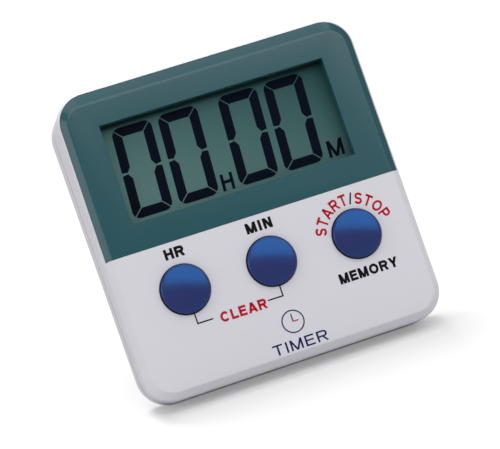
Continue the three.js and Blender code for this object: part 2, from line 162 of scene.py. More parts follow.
# ---------- display and legends, in millimetres ----------
SLANT = 0.065                        # lean of the digits, as X for each Z
DIGIT_W = 9.05
DIGIT_H = 20.2
DIGIT_FOOT = 7.19
DIGIT_X = [-24.5, -13.93, -0.05, 10.52]
DIGIT_R = 1.6                        # of the digits' outer corners
STROKE = 2.1
SEGMENT_GAP = 0.16
PRINT_THICK = 0.02
ARC_WEIGHT = 0.2                     # stroke of the lettering round a key, as a share of its height
CLOCK_AT = (0.5, -24.3)
CLOCK_R = 2.4
TIE_Z = (-16.1, -18.4)               # of the lines that tie two keys to one legend
FILM_RISE = (0.037, 0.024)           # start and length in metres of the painted shade that darkens the film upwards
FILM_RUN = (-0.026, 0.052)           # and to the right
FILM_TOP_SHADOW = (0.0012, 1 / 1100)     # how far below the window's upper edge its painted shadow starts, and how soon it is full

# ---------- camera, in millimetres on the face ----------
VIEW_SIDE = -0.2                     # the way to the camera, as a unit vector: sideways on the face
VIEW_BELOW = -0.103                  # and up it
ROLL = radians(-18.985)
DISTANCE = 484.3
AIM = (0.884, 1.982)
LENS = 162.14

# ---------- studio, in metres ----------
BOX_AWAY = 2.0                       # from the point they face to each soft box
BOX_AIM = (0, 0, 0.03)
BOXES = {                            # side, degrees up, width, height, radiance, roll
    "front_box": (0.28, 51, 3.0, 1.3, 1.92, 1.5 * ROLL),
    "top_box": (0.0, 90, 2.4, 0.9, 1.45, 0.0),
    "left_box": (-2.0, 60, 1.2, 1.2, 1.7, 0.0),
    "rear_box": (-0.1, 122, 0.8, 0.8, 14.0, 0.0),
}
SKY = 0.27
FLOOR_REACH = 6
FLOOR_TONE = (0.64, 0.64, 0.64)      # as it looks
FLOOR_BOUNCE = (0.72, 0.72, 0.72)    # as it lights the timer
FLOOR_MIRRORED = (0.3, 0.3, 0.3)     # as it shows in the glossy pieces
FLOOR_NEAR = 0.5                     # distance over which it keeps its own tone
FLOOR_GLOW = 0.26


def along(z, ends):
    """Straight from the bottom's value to the top's."""
    return ends[0] + (ends[1] - ends[0]) * (z - BOTTOM) / (TOP - BOTTOM)


def seam(z):
    return along(z, SEAM)


def back(z):
    return along(z, DEPTH)


def below_back(depth):
    """A surface this far under the sloping back."""
    return lambda z: back(z) - depth


def past_seam(depth):
    """A surface this far behind the seam's middle."""
    return lambda z: seam(z) + depth


def across(half):
    """Limits this far to either side of the middle."""
    return -half, half


def grown(ends, by):
    """Limits moved out at both ends."""
    return ends[0] - by, ends[1] + by


# ---------- meshes ----------
def new_piece(name, verts, faces):
    """A mesh object from vertex and face arrays."""
    mesh = bpy.data.meshes.new(name)
    mesh.from_pydata(np.asarray(verts).tolist(), [], [list(map(int, f)) for f in faces])
    mesh.update()
    piece = bpy.data.objects.new(name, mesh)
    bpy.context.scene.collection.objects.link(piece)
    return piece


def quads(rows, count, closed=True):
    """Faces of a grid of rows, each row a ring of count points."""
    i = np.arange(count if closed else count - 1)
    j = (i + 1) % count
    k = np.arange(rows - 1)[:, None] * count
    return np.stack([k + i, k + j, k + j + count, k + i + count], axis=-1).reshape(-1, 4)


def lofted(name, rings):
    """A closed body: rings of equal count joined by quads, the first and last filled flat."""
    count = len(rings[0])
    points = np.concatenate(rings)
    faces = [list(f) for f in quads(len(rings), count)]
    faces.append(list(range(count))[::-1])
    faces.append(list(range(len(points) - count, len(points))))
    return faced_out(new_piece(name, points, faces))


def faced_out(piece):
    """Turns a closed mesh's faces outwards by the sign of its volume."""
    mesh = piece.data
    mesh.calc_loop_triangles()
    tris = np.empty(len(mesh.loop_triangles) * 3, dtype=np.int32)
    mesh.loop_triangles.foreach_get("vertices", tris)
    flat = np.empty(len(mesh.vertices) * 3)
    mesh.vertices.foreach_get("co", flat)
    corners = flat.reshape(-1, 3)[tris].reshape(-1, 3, 3)
    volume = np.einsum("ij,ij->i", corners[:, 0], np.cross(corners[:, 1], corners[:, 2])).sum()
    if volume < 0:
        mesh.flip_normals()
    return piece


def rounded(x0, x1, z0, z1, radii, steps=16):
    """A rectangle's outline, anticlockwise from the right: a quarter circle of the given radius at
    its top right, top left, bottom left and bottom right corners. Returns x and z."""
    centres = [(x1, z1), (x0, z1), (x0, z0), (x1, z0)]
    xs, zs = [], []
    for quarter, ((cx, cz), r) in enumerate(zip(centres, radii)):
        turn = np.linspace(0, pi / 2, steps) + quarter * pi / 2
        mid_x = cx - np.sign(cx - (x0 + x1) / 2) * r
        mid_z = cz - np.sign(cz - (z0 + z1) / 2) * r
        xs.append(mid_x + r * np.cos(turn))
        zs.append(mid_z + r * np.sin(turn))
    return np.concatenate(xs), np.concatenate(zs)


def case_ring(inset, depth):
    """The case's outline drawn in by inset, at a depth that is a number or a function of z."""
    r = max(CORNER - inset, 0.6)
    x, z = rounded(inset - HALF_W, HALF_W - inset, BOTTOM + inset, TOP - inset, [r] * 4)
    y = depth(z) if callable(depth) else np.full_like(x, depth)
    return np.stack([x, y, z], axis=1)


def bezel_ring(inset, depth, foot=0.05):
    """The upper half of the case's outline: round at the top, square at the foot, and past the rim
    drawn in less at the sides than at the top."""
    r = max(CORNER - inset, 0.6)
    side = HALF_W - RIM - BEZEL_SIDE * (inset - RIM)
    x, z = rounded(-side, side, foot, TOP - inset, [r, r, 1e-3, 1e-3])
    return np.stack([x, np.full_like(x, depth), z], axis=1)


def edge_steps():
    """From the flat face round a tight arc, down a straight 45 degree slope and round a wider arc
    into the side wall: insets and depths."""
    turn = np.linspace(0, pi / 4, 7)
    half = sqrt(0.5)
    run = SLOPE * half
    start = SHOULDER_R * (1 - half) + run + CREASE_R * half
    shoulder = CREASE_R * (1 - cos(pi / 4)) + run + SHOULDER_R * half
    inset = np.append(start - CREASE_R * np.sin(turn), SHOULDER_R * (1 - np.sin(turn + pi / 4)))
    depth = np.append(CREASE_R * (1 - np.cos(turn)), shoulder - SHOULDER_R * np.cos(turn + pi / 4))
    return inset, depth


def box_cutter(x, y, z):
    """A block from three pairs of limits. A depth limit may be a function of z."""
    corners = [(x[i], y[j](z[k]) if callable(y[j]) else y[j], z[k])
               for i, j, k in np.ndindex(2, 2, 2)]
    faces = [(0, 1, 3, 2), (4, 6, 7, 5), (0, 4, 5, 1), (2, 3, 7, 6), (0, 2, 6, 4), (1, 5, 7, 3)]
    return faced_out(new_piece("cutter", corners, faces))


def turned(name, profile, x=0.0, z=0.0, count=96):
    """A body turned about the Y axis through x and z, from radius and depth pairs that start and
    end on the axis."""
    profile = np.asarray(profile, dtype=float)
    inner = profile[1:-1]
    turn = np.arange(count) * 2 * pi / count
    rings = np.stack([
        x + inner[:, :1] * np.cos(turn), np.repeat(inner[:, 1:], count, axis=1),
        z + inner[:, :1] * np.sin(turn)], axis=-1)
    verts = np.concatenate([rings.reshape(-1, 3), [[x, profile[0, 1], z], [x, profile[-1, 1], z]]])
    faces = [list(f) for f in quads(len(inner), count)]
    first, last, base = len(verts) - 2, len(verts) - 1, (len(inner) - 1) * count
    for i in range(count):
        faces.append([first, (i + 1) % count, i])
        faces.append([last, base + i, base + (i + 1) % count])
    return faced_out(new_piece(name, verts, faces))


def bar(x, z, r, y, count=64):
    """A round cutter or peg along Y between two depths."""
    return turned("cutter", [(0, y[0]), (r, y[0]), (r, y[1]), (0, y[1])], x, z, count)


def carve(piece, tools, operation="DIFFERENCE"):
    """Cuts the tools out of a piece, or joins them to it, for good."""
    for tool in tools:
        mod = piece.modifiers.new("carve", "BOOLEAN")
        mod.operation = operation
        mod.solver = "MANIFOLD"
        mod.object = tool
    depsgraph = bpy.context.evaluated_depsgraph_get()
    mesh = bpy.data.meshes.new_from_object(piece.evaluated_get(depsgraph))
    piece.modifiers.clear()
    piece.data = mesh
    for tool in tools:
        bpy.data.objects.remove(tool)
    return piece


def moved(piece, x=0.0, y=0.0, z=0.0, tilt=0.0):
    """Turns a piece about X by a tilt in radians, then moves it."""
    piece.data.transform(Matrix.Translation((x, y, z)) @ Matrix.Rotation(tilt, 4, "X"))
    return piece


def on_back(piece, x, z):
    """Takes a piece drawn with Y out of the case and sets it square on the sloping back."""
    return moved(piece, x, back(z), z, -BACK_TILT)


def crosswise(piece, x=0.0, y=0.0, z=0.0):
    """Lays a piece drawn along Y down along X, then moves it."""
    piece.data.transform(Matrix.Translation((x, y, z)) @ Matrix.Rotation(-pi / 2, 4, "Z"))
    return piece


def swept(name, path, r, across, sides=12):
    """A round wire along a path. Across is a direction the path never runs in."""
    path = np.asarray(path, dtype=float)
    ahead = np.gradient(path, axis=0)
    ahead /= np.linalg.norm(ahead, axis=1, keepdims=True)
    side = np.cross(ahead, across)
    side /= np.linalg.norm(side, axis=1, keepdims=True)
    over = np.cross(ahead, side)
    turn = np.arange(sides) * 2 * pi / sides
    around = np.cos(turn)[:, None] * side[:, None] + np.sin(turn)[:, None] * over[:, None]
    return lofted(name, list(path[:, None] + r * around))


def eased(points, rounds=3):
    """A bent line with its corners cut again and again until it is a curve."""
    path = np.asarray(points, dtype=float)
    for _ in range(rounds):
        near = 0.75 * path[:-1] + 0.25 * path[1:]
        far = 0.25 * path[:-1] + 0.75 * path[1:]
        path = np.vstack([path[:1], np.stack([near, far], axis=1).reshape(-1, 3), path[-1:]])
    return path


def hoop(name, profile, count=96):
    """A ring turned about the Y axis from a closed loop of radius and depth pairs."""
    profile = np.asarray(profile, dtype=float)
    turn = np.arange(count) * 2 * pi / count
    rings = np.stack([profile[:, :1] * np.cos(turn), np.repeat(profile[:, 1:], count, axis=1),
                      profile[:, :1] * np.sin(turn)], axis=-1)
    faces = quads(len(profile) + 1, count) % (len(profile) * count)
    return faced_out(new_piece(name, rings.reshape(-1, 3), faces))


def paint(piece, material):
    piece.data.materials.clear()
    piece.data.materials.append(material)
    return piece


def in_row(piece, material, slot, *replaces, smooth=40, soften=0.0, segments=2, body="case"):
    """Leans a finished shape back into the row's frame in metres, smooths it, softens its edges,
    paints it and says what it rides on and the nodes it stands for. The slot is not used."""
    piece.data.transform(TO_ROW)
    piece.data.update()
    piece.data.shade_smooth()
    piece.data.set_sharp_from_angle(angle=radians(smooth))
    if soften:
        edge = piece.modifiers.new("soft edges", "BEVEL")
        edge.width = soften * MM
        edge.segments = segments
        edge.limit_method = "ANGLE"
        edge.angle_limit = radians(38)
        edge.harden_normals = True
    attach(piece, body)
    if replaces:
        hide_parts(*replaces)
    return paint(piece, material)


# ---------- node groups ----------
def group(name, inputs, outputs):
    """An empty shader node group with float inputs and the given outputs."""
    tree = bpy.data.node_groups.new(name, "ShaderNodeTree")
    for label, value in inputs:
        socket = tree.interface.new_socket(label, in_out="INPUT", socket_type="NodeSocketFloat")
        socket.default_value = value
    for label, kind in outputs:
        tree.interface.new_socket(label, in_out="OUTPUT", socket_type=kind)
    return tree, tree.nodes.new("NodeGroupInput"), tree.nodes.new("NodeGroupOutput")


def set_inputs(tree, node, values):
    """Sets a node's inputs, by name or number, or feeds them from other nodes' outputs."""
    for label, value in values.items():
        if isinstance(value, bpy.types.NodeSocket):
            tree.links.new(value, node.inputs[label])
        else:
            node.inputs[label].default_value = value
    return node


def from_object(tree, node):
    """Feeds a node the object's own coordinates."""
    coords = tree.nodes.new("ShaderNodeTexCoord")
    return set_inputs(tree, node, {"Vector": coords.outputs["Object"]})


def math_node(tree, operation, a, b):
    """A Math node whose inputs are sockets or numbers. Returns its output."""
    node = tree.nodes.new("ShaderNodeMath")
    node.operation = operation
    return set_inputs(tree, node, {0: a, 1: b}).outputs[0]


def noise(tree, scale, detail, roughness):
    """Noise over the object's own coordinates. Scale is a number or a socket."""
    node = from_object(tree, tree.nodes.new("ShaderNodeTexNoise"))
    return set_inputs(tree, node, {"Scale": scale, "Detail": detail, "Roughness": roughness}).outputs["Fac"]


def surface_grain_group():
    """Fine spark-erosion grain and broad handling variation: a height and two masks."""
    tree, start, end = group("surface_grain", [("Grain", 2500.0), ("Patches", 60.0)],
                             [("Height", "NodeSocketFloat"), ("Patches", "NodeSocketFloat"),
                              ("Specks", "NodeSocketFloat")])
    specks = set_inputs(tree, tree.nodes.new("ShaderNodeMapRange"), {
        "From Min": 0.68, "From Max": 0.76, "Value": noise(tree, 900.0, 2.0, 0.5)})
    set_inputs(tree, end, {
        "Height": noise(tree, start.outputs["Grain"], 3.0, 0.7),
        "Patches": noise(tree, start.outputs["Patches"], 5.0, 0.55),
        "Specks": specks.outputs["Result"]})
    return tree


GRAIN = surface_grain_group()


def mix(tree, factor, a, b, blend="MIX"):
    """Mixes two colours or colour sockets by a factor socket or number."""
    node = tree.nodes.new("ShaderNodeMix")
    node.data_type = "RGBA"
    node.blend_type = blend
    first, second = [i for i, socket in enumerate(node.inputs) if socket.type == "RGBA"][:2]
    a, b = [(*colour, 1.0) if isinstance(colour, tuple) else colour for colour in (a, b)]
    set_inputs(tree, node, {0: factor, first: a, second: b})
    return next(s for s in node.outputs if s.type == "RGBA")


def scaled(tree, value, low, high):
    """Maps 0 to 1 onto low to high."""
    node = tree.nodes.new("ShaderNodeMapRange")
    return set_inputs(tree, node, {"To Min": low, "To Max": high, "Value": value}).outputs["Result"]


def finish_material(name, colour, rough, *, shift=0.06, grain=2500.0, patches=60.0, bump=0.00001,
                    metallic=0.0, specular=0.5, specks=0.15, rough_spread=0.08, transmission=0.0,
                    ior=1.5):
    """A moulded, printed or metal finish: colour that drifts in patches, darker specks, roughness
    that varies with handling, and a fine grain."""
    material = bpy.data.materials.new(name)
    material.use_nodes = True
    tree = material.node_tree
    surface = tree.nodes.new("ShaderNodeGroup")
    surface.node_tree = GRAIN
    masks = set_inputs(tree, surface, {"Grain": grain, "Patches": patches}).outputs
    light = tuple(min(1.0, c * (1 + shift)) for c in colour)
    dark = tuple(c * (1 - shift) for c in colour)
    drift = mix(tree, masks["Patches"], dark, light)
    speck = math_node(tree, "MULTIPLY", masks["Specks"], specks)
    relief = tree.nodes.new("ShaderNodeBump")
    set_inputs(tree, relief, {"Distance": bump, "Height": masks["Height"]})
    set_inputs(tree, tree.nodes["Principled BSDF"], {
        "Base Color": mix(tree, speck, drift, tuple(c * 0.6 for c in colour)),
        "Roughness": scaled(tree, masks["Patches"], max(0.02, rough - rough_spread),
                            min(1.0, rough + rough_spread)),
        "Normal": relief.outputs["Normal"], "Metallic": metallic, "Specular IOR Level": specular,
        "Transmission Weight": transmission, "IOR": ior})
    return material


def srgb(r, g, b):
    """Screen values from 0 to 255 as linear light."""
    value = np.array([r, g, b]) / 255
    curve = ((value + 0.055) / 1.055) ** 2.4
    return tuple(float(v) for v in np.where(value <= 0.04045, value / 12.92, curve))


def plain_ink(name, colour):
    return finish_material(name, colour, 0.55, shift=0.07, specular=0.12)


def key_material():
    """Blue lacquered plastic, whose highlights keep its own tint."""
    made = finish_material("blue_key_lacquer", srgb(50, 48, 94), 0.24, shift=0.04, specks=0.05,
                           bump=0.000003, specular=1.0, ior=1.8, rough_spread=0.03)
    shader = made.node_tree.nodes["Principled BSDF"]
    shader.inputs["Specular Tint"].default_value = (0.01, 0.25, 0.76, 1)
    return made


def eased_in(tree, value, start, length):
    """How far a value in metres has gone from start over a length, as a share of it."""
    gone = math_node(tree, "SUBTRACT", value, start)
    return math_node(tree, "MULTIPLY", gone, 1 / length)


def film_material():
    """Grey-green polarised film with painted shade that darkens it from the lower left to the upper right,
    and a painted shadow in a dark band under the window's upper edge."""
    made = finish_material("polariser_film", (0.5, 0.5, 0.5), 0.55, shift=0.03, specks=0.05, specular=0.12)
    tree = made.node_tree
    shader = tree.nodes["Principled BSDF"]
    grain = shader.inputs["Base Color"].links[0].from_socket
    place = from_object(tree, tree.nodes.new("ShaderNodeSeparateXYZ")).outputs
    # painted shade: the film darkens towards its upper right
    rise = eased_in(tree, place["Z"], *FILM_RISE)
    run = eased_in(tree, place["X"], *FILM_RUN)
    middle = math_node(tree, "MULTIPLY", math_node(tree, "ADD", rise, run), 0.5)
    shade = mix(tree, middle, srgb(91, 126, 123), srgb(31, 72, 73))
    # painted shadow: a dark band under the window's upper edge
    edge = (TO_ROW @ Vector((0, DISPLAY_Y, WINDOW_Z[1]))).z
    top_shadow = eased_in(tree, place["Z"], edge - FILM_TOP_SHADOW[0], FILM_TOP_SHADOW[1])
    top_shadow.node.use_clamp = True
    shadowed = mix(tree, top_shadow, shade, srgb(12, 34, 38))
    grained = mix(tree, 0.5, grain, (1.5, 1.5, 1.5))
    tree.links.new(mix(tree, 1.0, shadowed, grained, "MULTIPLY"), shader.inputs["Base Color"])
    return made


def striped_material(name, colour_a, colour_b, rough, scale, **rest):
    """Two colours in even bands over the grain: conductive rubber, brushed sheet or a wrapped label."""
    made = finish_material(name, colour_a, rough, **rest)
    tree = made.node_tree
    shader = tree.nodes["Principled BSDF"]
    grain = shader.inputs["Base Color"].links[0].from_socket
    bands = from_object(tree, tree.nodes.new("ShaderNodeTexWave"))
    set_inputs(tree, bands, {"Scale": scale, "Distortion": 0.4})
    tree.links.new(mix(tree, bands.outputs["Fac"], grain, colour_b), shader.inputs["Base Color"])
    return made


SHELL = finish_material("pale_abs", srgb(212, 211, 219), 0.46, shift=0.012, specks=0.05, bump=0.000006,
                        specular=0.4)
TEAL = finish_material("teal_abs", srgb(33, 80, 88), 0.22, shift=0.04, specks=0.06, bump=0.000002,
                       rough_spread=0.03)
BLUE = key_material()
FILM = film_material()
DIGIT = finish_material("display_segment", srgb(3, 10, 26), 0.6, shift=0.05, specular=0.05)
INK_BLACK = plain_ink("black_legend_ink", srgb(14, 14, 18))
INK_RED = plain_ink("red_legend_ink", srgb(180, 14, 38))
INK_NAVY = plain_ink("navy_legend_ink", srgb(22, 32, 84))
GLASS = finish_material("display_glass", (0.86, 0.92, 0.90), 0.05, shift=0.02, transmission=0.9, ior=1.52,
                        rough_spread=0.02, bump=0.000001)
FOIL = striped_material("reflector_foil", srgb(190, 196, 196), srgb(168, 174, 176), 0.35, 900.0,
                        metallic=0.9)
DARK = finish_material("black_moulding", srgb(30, 30, 33), 0.55, grain=3200.0)
ZEBRA = striped_material("conductive_rubber", srgb(24, 24, 26), srgb(120, 116, 112), 0.7, 1100.0,
                         bump=0.000004)
RUBBER = finish_material("dome_rubber", srgb(86, 88, 92), 0.72, shift=0.08, specks=0.4)
LAMINATE = finish_material("board_laminate", srgb(36, 96, 62), 0.42, shift=0.12, grain=1600.0, patches=240.0,
                           bump=0.00001)
TRACK = finish_material("covered_copper", srgb(62, 138, 84), 0.35, shift=0.1, patches=200.0)
CARBON = finish_material("carbon_pad", srgb(34, 34, 36), 0.8, shift=0.15)
SOLDER = finish_material("solder", srgb(196, 198, 200), 0.28, metallic=1.0, shift=0.08, patches=400.0)
POTTING = finish_material("chip_potting", srgb(20, 20, 22), 0.22, shift=0.2, patches=220.0, bump=0.00002)
CERAMIC = finish_material("ceramic", srgb(196, 170, 132), 0.6, shift=0.06, patches=300.0)
SLEEVE = finish_material("capacitor_sleeve", srgb(30, 36, 62), 0.4)
STEEL = striped_material("plated_steel", srgb(188, 190, 194), srgb(160, 163, 168), 0.3, 700.0, metallic=1.0,
                         shift=0.06, patches=180.0)
BRASS = striped_material("buzzer_brass", srgb(196, 160, 84), srgb(176, 140, 70), 0.32, 500.0, metallic=1.0,
                         shift=0.08, patches=160.0)
MAGNET = finish_material("magnet_plate", srgb(120, 122, 126), 0.36, metallic=0.9, shift=0.1, patches=260.0,
                         specks=0.5)
RED_WIRE = finish_material("red_insulation", srgb(176, 30, 30), 0.45)
BLACK_WIRE = finish_material("black_insulation", srgb(26, 26, 28), 0.45)
CELL_BODY = striped_material("battery_label", srgb(34, 44, 60), srgb(28, 36, 50), 0.34, 60.0, shift=0.05)
CELL_BAND = finish_material("battery_band", srgb(186, 120, 62), 0.3, metallic=0.6, shift=0.06)


# ---------- front shell ----------
def key_centres():
    return [KEY_MIDDLE + i * KEY_PITCH for i in (-1, 0, 1)]


def window_cutter(grow, depth):
    return box_cutter(across(WINDOW_X + grow), depth, grown(WINDOW_Z, grow))


def screw_posts(shell, places, wide, bore, bored_from, top=None):
    """Bored posts joined to a shell from its inside, each up to a level or to just under the seam."""
    posts = [bar(x, z, wide, (1.2 + 1.9 * (z > 0), top or seam(z) - 0.6), 40) for x, z in places]
    carve(shell, posts, "UNION")
    carve(shell, [bar(x, z, bore, (bored_from, 20), 32) for x, z in places])


def front_housing():
    """The case outline carried from the face over a tight crease, a slope and a shoulder to the
    sloping seam, cut hollow, then seated for the bezel and holed for the keys."""
    rings = [case_ring(inset, depth) for inset, depth in zip(*edge_steps())]
    rings += [case_ring(inset, past_seam(-SEAM_LIP)) for inset in (0, SEAM_GROOVE)]
    rings.append(case_ring(SEAM_GROOVE, past_seam(-GAP)))
    shell = lofted("front_shell", rings)
    hollow = lofted("cutter", [case_ring(WALL, depth) for depth in (SHELL_FLOOR, past_seam(2))])
    lower = box_cutter(across(HALF_W - LOWER_EDGE), (LOWER_FLOOR, 3.6), (BOTTOM + LOWER_EDGE, -1.2))
    seat = lofted("cutter", [bezel_ring(RIM - GAP, depth, foot=0) for depth in (-2, 1.9)])
    holes = [bar(x, KEY_Z, KEY_HOLE, (-1, 3), 128) for x in key_centres()]
    carve(shell, [hollow, lower, seat, window_cutter(1.4, (-1, 5)), *holes])
    screw_posts(shell, CASE_SCREWS, *CASE_POST)
    screw_posts(shell, BOARD_SCREWS, *BOARD_POST)
    in_row(shell, SHELL, "pale_shell", "front_housing", soften=0.16)


def display_bezel():
    """A plate over the upper half with a square foot, its border sloping down to the housing's rim,
    and a flange that runs back round the window."""
    insets, depths = edge_steps()
    reach = np.interp(-RIM, -insets, depths)
    slope = atan2(reach, BEZEL_SLOPE - RIM)
    turn = np.linspace(0, slope, 6)
    insets = BEZEL_SLOPE + BEZEL_CREASE_R * (tan(slope / 2) - np.sin(turn))
    depths = BEZEL_CREASE_R * (1 - np.cos(turn))
    rings = [bezel_ring(inset, depth) for inset, depth in zip(insets, depths)]
    plate = lofted("teal_bezel", rings + [bezel_ring(RIM, depth) for depth in (reach, BEZEL_THICK)])
    carve(plate, [window_cutter(1.1, (0.8, 2.8))], "UNION")
    carve(plate, [window_cutter(0.0, (-1, 4))])
    in_row(plate, TEAL, "teal_bezel", "display_bezel", soften=0.14, segments=3)


def key_cap(name, x):
    """A turned key: a shallow dome that falls as the square of the radius, a rounded edge, a
    straight skirt, a flange and a stem."""
    dome_r, middle, rim = KEY_DOME
    r = np.linspace(0, dome_r, 20)
    dome = np.stack([r, (middle - rim) * (r / dome_r) ** 2 - middle], axis=1)
    turn = np.linspace(KEY_EDGE_FROM, pi / 2, 8)[1:]
    out = (np.sin(turn) - sin(KEY_EDGE_FROM)) / (1 - sin(KEY_EDGE_FROM))
    fall = 1 - np.cos(turn) / cos(KEY_EDGE_FROM)
    edge = np.stack([dome_r + (KEY_R - dome_r) * out, KEY_EDGE_FALL * fall - rim], axis=1)
    (wide, front, rear), (stem_r, end) = KEY_FLANGE, KEY_STEM
    rest = [(KEY_R, front), (wide, front), (wide, rear), (stem_r, rear), (stem_r, end), (0, end)]
    cap = turned(f"{name}_cap", np.concatenate([dome, edge, rest]), x, KEY_Z, 128)
    in_row(cap, BLUE, "blue_key", f"{name}_button", smooth=30, soften=0.05, body=f"{name}_button")


# ---------- display ----------
def facing(outline):
    """An outline turned anticlockwise."""
    flat = np.asarray(outline, dtype=float)
    ahead = np.roll(flat, -1, axis=0)
    area = np.sum(flat[:, 0] * ahead[:, 1] - ahead[:, 0] * flat[:, 1])
    return flat if area > 0 else flat[::-1]


def prism(name, outlines, depth, thick=PRINT_THICK):
    """Flat outlines in x and z, each raised by a thickness off the given depth, as one mesh."""
    verts, faces, base = [], [], 0
    for flat in map(facing, outlines):
        count = len(flat)
        front = np.insert(flat, 1, depth - thick, axis=1)
        verts += [front, front + [0, thick, 0]]
        ring = base + np.arange(count)
        ahead = np.roll(ring, -1)
        faces += [ring, count + ring[::-1], *np.stack([ahead, ring, count + ring, count + ahead], axis=1)]
        base += 2 * count
    return faced_out(new_piece(name, np.concatenate(verts), faces))


def zero_outlines(x):
    """The six lit segments of a nought, each a mitred bar with the outer corners rounded off."""
    w, h, s, r, gap = DIGIT_W, DIGIT_H, STROKE, DIGIT_R, SEGMENT_GAP
    cut = r * (1 - cos(pi / 4))
    turn = np.linspace(0, pi / 4, 5)
    top = [(s + gap, h - s), (w - s - gap, h - s), (w - cut - gap, h - cut)]
    top += [(w - r + r * sin(a) - gap, h - r + r * cos(a)) for a in turn[-2::-1]]
    top += [(r - r * sin(a) + gap, h - r + r * cos(a)) for a in turn]
    side = [(0, h / 2 + gap * 2.2), (0, h - r)]
    side += [(r - r * cos(a), h - r + r * sin(a) - gap) for a in turn[1:]]
    side += [(s, h - s - gap), (s, h / 2 + s * 0.62), (s * 0.62, h / 2 + gap)]
    upper = [np.array(top), np.array(side), np.array(side) * [-1, 1] + [w, 0]]
    lower = [shape * [1, -1] + [0, h] for shape in upper]
    return [shape @ [[1, 0], [SLANT, 1]] + [x, DIGIT_FOOT] for shape in upper + lower]


# ---------- lettering ----------
def ribbon(path, half):
    """A stroke: a centre line carried with a constant half width, corners mitred, ends square."""
    path = np.asarray(path, dtype=float)
    path = path[np.append(True, np.linalg.norm(np.diff(path, axis=0), axis=1) > 1e-6)]
    step = np.diff(path, axis=0)
    step /= np.linalg.norm(step, axis=1, keepdims=True)
    before, after = np.vstack([step[:1], step]), np.vstack([step, step[-1:]])
    side = (before + after) @ np.array([[0.0, 1.0], [-1.0, 0.0]])
    side /= np.linalg.norm(side, axis=1, keepdims=True)
    square = after @ np.array([[0.0, 1.0], [-1.0, 0.0]])
    reach = half / np.maximum((side * square).sum(axis=1), 0.35)
    return np.vstack([path + side * reach[:, None], (path - side * reach[:, None])[::-1]])


def arc(cx, cz, rx, rz, start, end, steps=14):
    """Points round an ellipse between two angles in degrees."""
    turn = np.radians(np.linspace(start, end, steps))
    return np.stack([cx + rx * np.cos(turn), cz + rz * np.sin(turn)], axis=1)


def slant(x0, x1, wide, z0=0.0, z1=1.0):
    """A bar from x0 at z0 to x1 at z1, cut level at both ends."""
    return np.array([(x0, z0), (x0 + wide, z0), (x1 + wide, z1), (x1, z1)])


def bowl(w, h, top, mid):
    """The round of an R or P: out along the top, half a turn, and back to the stem."""
    r = (top - mid) / 2
    return np.vstack([[(h, top)], arc(w - h - r, mid + r, r, r, 90, -90), [(h, mid)]])


def glyph(letter, s):
    """A capital one unit high with strokes s wide: its width and its strokes' outlines."""
    h, t = s / 2, 1 - s / 2
    stem = ribbon([(h, 0), (h, 1)], h)
    if letter == "I":
        return s, [stem]
    if letter == "H":
        w = 0.81
        return w, [stem, stem + [w - s, 0], ribbon([(h, 0.52), (w - h, 0.52)], h * 0.95)]
    if letter == "L":
        return 0.7, [ribbon([(h, 1), (h, h), (0.7, h)], h)]
    if letter == "E":
        w = 0.74
        bracket = ribbon([(w, t), (h, t), (h, h), (w, h)], h)
        return w, [bracket, ribbon([(h, 0.52), (w * 0.94, 0.52)], h * 0.95)]
    if letter == "T":
        w = 0.8
        return w, [ribbon([(0, t), (w, t)], h), ribbon([(w / 2, 0), (w / 2, t)], h)]
    if letter == "A":
        w, d = 0.93, s * 1.12
        legs = [slant(foot, (w - d) / 2, d) for foot in (0, w - d)]
        return w, [*legs, ribbon([(0.22, 0.3), (w - 0.22, 0.3)], h * 0.85)]
    if letter == "M":
        w, d = 0.97, s * 1.05
        return w, [stem, stem + [w - s, 0], slant((w - d) / 2, 0, d), slant((w - d) / 2, w - d, d)]
    if letter == "N":
        w, d = 0.8, s * 1.1
        return w, [stem, stem + [w - s, 0], slant(w - d, 0, d)]
    if letter == "Y":
        w, d = 0.9, s * 1.15
        arms = [slant((w - d) / 2, tip, d, 0.38) for tip in (0, w - d)]
        return w, [ribbon([(w / 2, 0), (w / 2, 0.42)], h), *arms]
    if letter == "R":
        w = 0.84
        return w, [stem, ribbon(bowl(w, h, t, 0.48), h), slant(w - s * 1.05, w * 0.42, s * 1.05, 0, 0.5)]
    if letter == "P":
        return 0.8, [stem, ribbon(bowl(0.8, h, t, 0.45), h)]
    if letter == "O":
        w = 0.95
        return w, [ribbon(arc(w / 2, 0.5, w / 2 - h, 0.5 - h, a, a + 180, 20), h) for a in (0, 180)]
    if letter == "C":
        w = 0.92
        return w, [ribbon(arc(w / 2, 0.5, w / 2 - h, 0.5 - h, 38, 318, 30), h)]
    if letter == "S":
        w, r = 0.8, (0.5 - h) / 2
        upper = arc(w / 2, 0.5 + r, w / 2 - h, r, 22, 270, 20)
        lower = arc(w / 2, 0.5 - r, w / 2 - h, r, 90, -158, 20)
        return w, [ribbon(np.vstack([upper, lower[1:]]), h)]
    return 0.4, [slant(0, 0.4 - s * 0.8, s * 0.8)]


def word(text, height, x, z, width, weight, spacing=0.14, lean=0.0):
    """A line of capitals with a given height and overall width, centred on x and z."""
    cursor, outlines = 0.0, []
    for letter in text:
        wide, strokes = glyph(letter, weight)
        outlines += [stroke + [cursor, 0] for stroke in strokes]
        cursor += wide + spacing
    cursor -= spacing
    fit = np.array([[width / cursor, 0], [height * lean, height]])
    return [(flat - [cursor / 2, 0.5]) @ fit + [x, z] for flat in outlines]


def word_round(text, height, x, z, radius, start, end, narrow=0.84, spacing=0.3):
    """Capitals spread along an arc about x and z, their feet towards its centre, each as far from
    its neighbours as their widths ask."""
    letters = [glyph(letter, ARC_WEIGHT) for letter in text]
    wide = np.array([w for w, _ in letters])
    along_arc = np.append(0, np.cumsum((wide[:-1] + wide[1:]) / 2 + spacing))
    angles = np.radians(start + (end - start) * along_arc / along_arc[-1])
    outlines = []
    for (width, strokes), angle in zip(letters, angles):
        axes = np.array([[sin(angle), -cos(angle)], [cos(angle), sin(angle)]])
        for stroke in strokes:
            flat = (stroke - [width / 2, 0.5]) * [height * narrow, height] + [0, radius]
            outlines.append(flat @ axes + [x, z])
    return outlines


